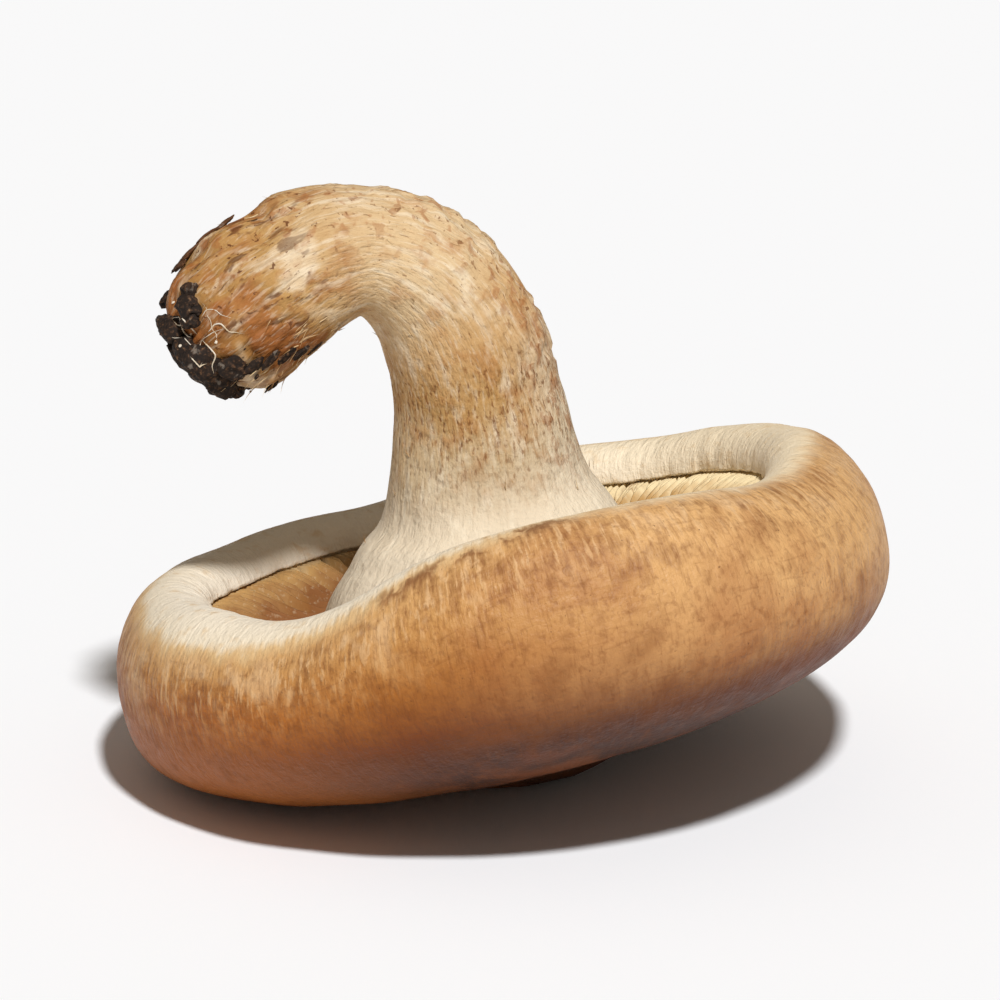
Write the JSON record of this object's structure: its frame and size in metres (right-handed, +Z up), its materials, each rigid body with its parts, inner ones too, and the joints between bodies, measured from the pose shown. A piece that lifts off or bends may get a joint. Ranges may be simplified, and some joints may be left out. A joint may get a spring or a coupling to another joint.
{
  "type": "shiitake mushroom",
  "caption": "Picked shiitake mushroom lying on its brown cap, gills up inside the rolled-in margin, its tan stem bent over to a bark-crusted foot.",
  "frame": {"origin": "under the middle of the whole mushroom, on the surface that it lies on", "axes": "+Z up, out of the gill side; the stem bends over towards -X; the side with the lower margin faces -Y"},
  "size_m": [0.0804, 0.0816, 0.0635],
  "materials": {
    "cap_skin": "soft satin brown skin, paler towards the cream margin",
    "gill_flesh": "matt cream flesh",
    "stem_flesh": "matt tan, finely fibrous",
    "bark": "matt dark bark crumbs"
  },
  "bodies": {
    "root": {"cap": "cap_skin", "gills": "gill_flesh", "stem": "stem_flesh", "bark_crust": "bark"}
  },
  "joints": []
}
